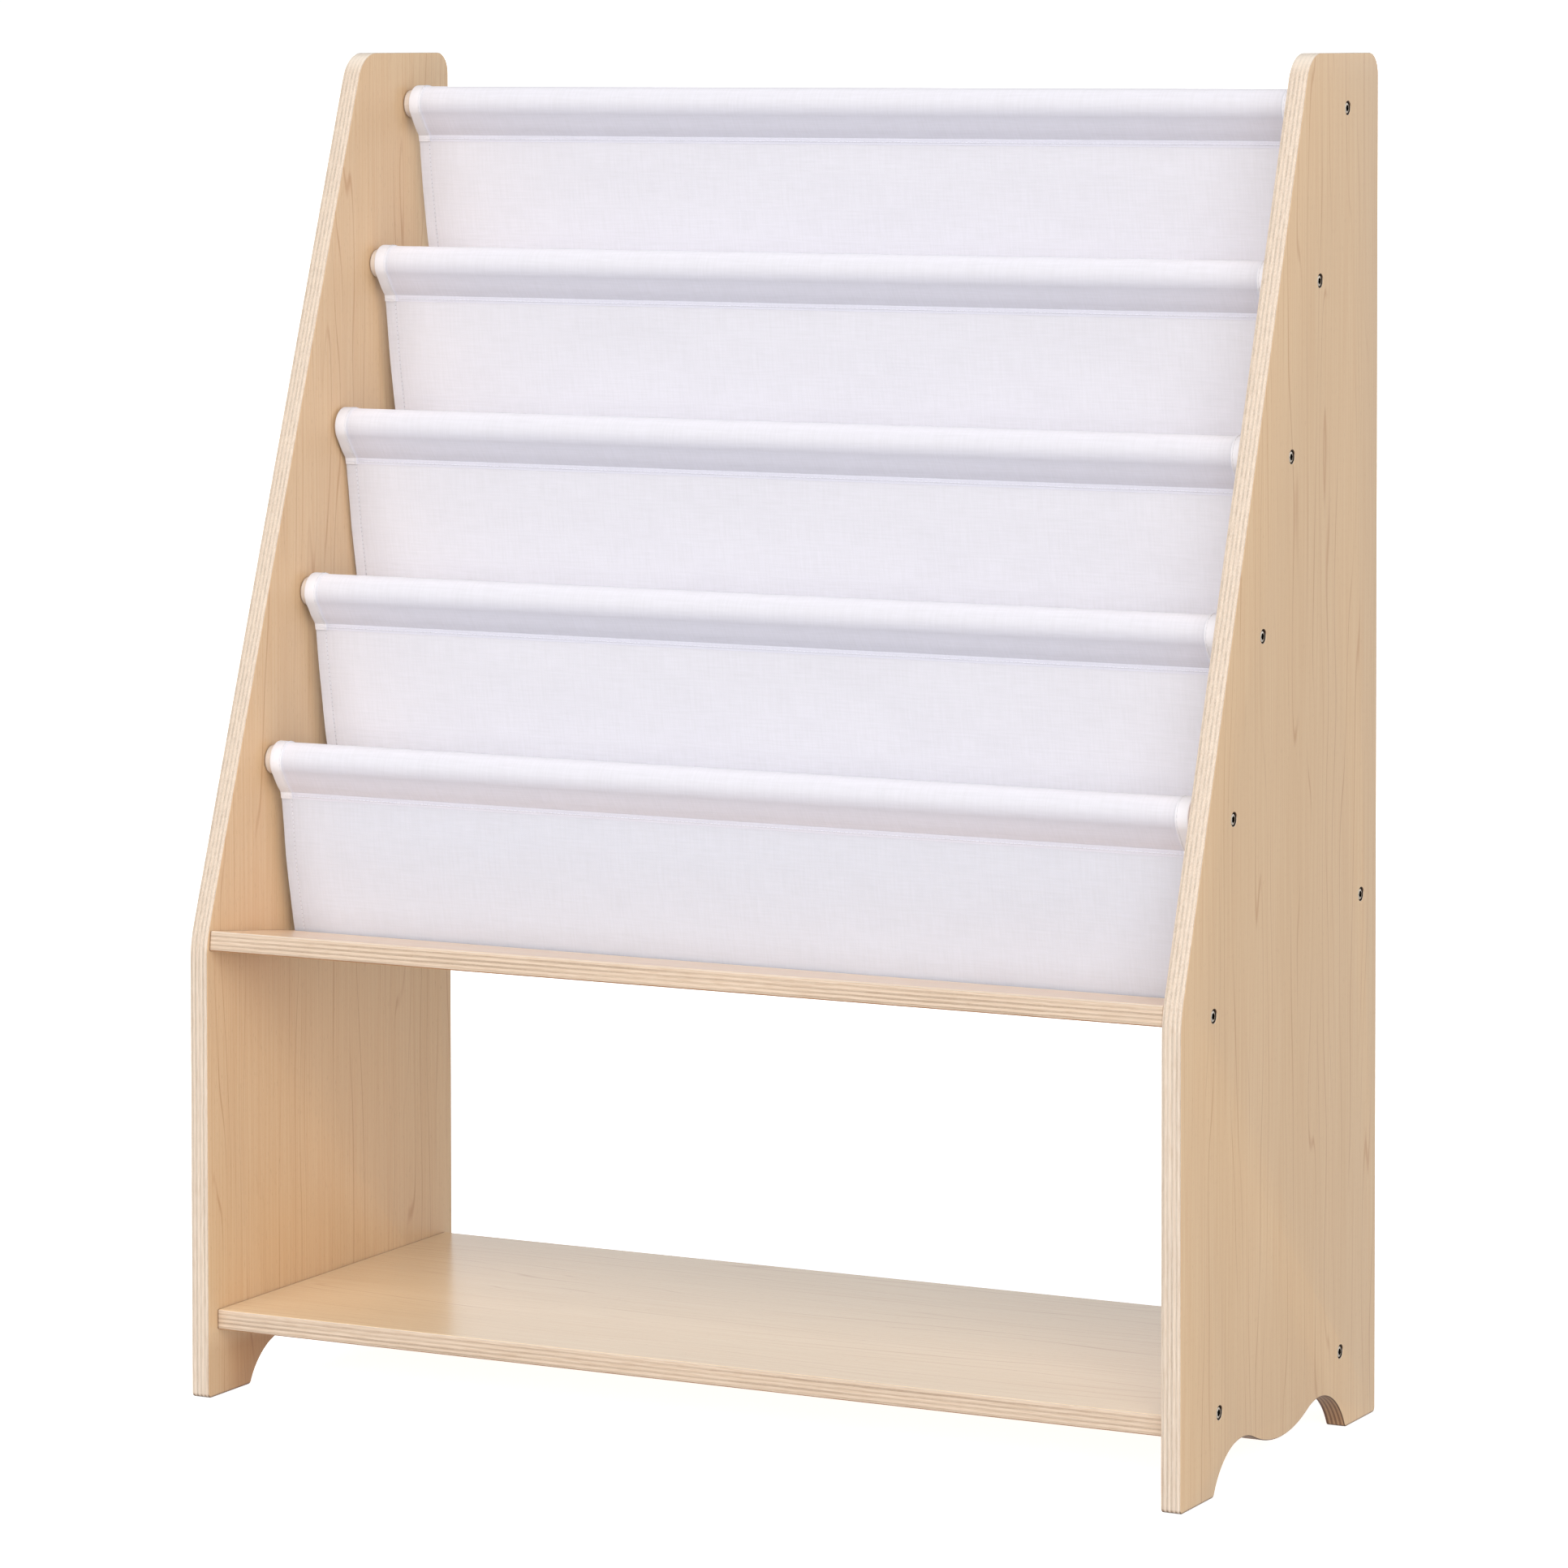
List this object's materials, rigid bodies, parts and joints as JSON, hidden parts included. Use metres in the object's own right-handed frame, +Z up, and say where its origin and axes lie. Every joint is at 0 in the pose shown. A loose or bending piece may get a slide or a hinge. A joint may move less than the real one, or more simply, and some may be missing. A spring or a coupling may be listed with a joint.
{
  "type": "sling bookshelf",
  "caption": "Children's sling bookshelf with plywood sides, a bottom shelf, a narrow book ledge, dowel rods and tiers of sleeved canvas slings.",
  "frame": {"origin": "on the floor, under the middle of the outline seen from above", "axes": "+X across the width, +Y to the back (books are taken from the -Y side), +Z up"},
  "size_m": [0.815, 0.362, 1.016],
  "materials": {
    "birch_ply": "pale plywood, satin clear lacquer, plies showing on every edge",
    "dowel": "turned pale hardwood, satin clear lacquer",
    "canvas": "off-white cotton canvas, plain weave",
    "nickel": "nickel-plated steel, satin",
    "zinc_alloy": "yellow-passivated zinc alloy"
  },
  "bodies": {
    "root": {"side_panel_left": "birch_ply", "side_panel_right": "birch_ply", "bottom_shelf": "birch_ply", "book_ledge": "birch_ply", "front_rod_1": "dowel", "front_rod_2": "dowel", "front_rod_3": "dowel", "front_rod_4": "dowel", "front_rod_5": "dowel", "rear_rod": "dowel", "pocket_sheet_1": "canvas", "pocket_sheet_2": "canvas", "pocket_sheet_3": "canvas", "pocket_sheet_4": "canvas", "back_sheet": "canvas", "bolt_left_front_rod_1": "nickel", "bolt_left_front_rod_2": "nickel", "bolt_left_front_rod_3": "nickel", "bolt_left_front_rod_4": "nickel", "bolt_left_front_rod_5": "nickel", "bolt_left_rear_rod": "nickel", "bolt_left_ledge": "nickel", "bolt_left_shelf_front": "nickel", "bolt_left_shelf_rear": "nickel", "insert_left_front_rod_1": "zinc_alloy", "insert_left_front_rod_2": "zinc_alloy", "insert_left_front_rod_3": "zinc_alloy", "insert_left_front_rod_4": "zinc_alloy", "insert_left_front_rod_5": "zinc_alloy", "insert_left_rear_rod": "zinc_alloy", "barrel_nut_left_shelf_front": "zinc_alloy", "barrel_nut_left_shelf_rear": "zinc_alloy", "barrel_nut_left_ledge": "zinc_alloy", "locating_pin_left": "dowel", "bolt_right_front_rod_1": "nickel", "bolt_right_front_rod_2": "nickel", "bolt_right_front_rod_3": "nickel", "bolt_right_front_rod_4": "nickel", "bolt_right_front_rod_5": "nickel", "bolt_right_rear_rod": "nickel", "bolt_right_ledge": "nickel", "bolt_right_shelf_front": "nickel", "bolt_right_shelf_rear": "nickel", "insert_right_front_rod_1": "zinc_alloy", "insert_right_front_rod_2": "zinc_alloy", "insert_right_front_rod_3": "zinc_alloy", "insert_right_front_rod_4": "zinc_alloy", "insert_right_front_rod_5": "zinc_alloy", "insert_right_rear_rod": "zinc_alloy", "barrel_nut_right_shelf_front": "zinc_alloy", "barrel_nut_right_shelf_rear": "zinc_alloy", "barrel_nut_right_ledge": "zinc_alloy", "locating_pin_right": "dowel"}
  },
  "joints": []
}
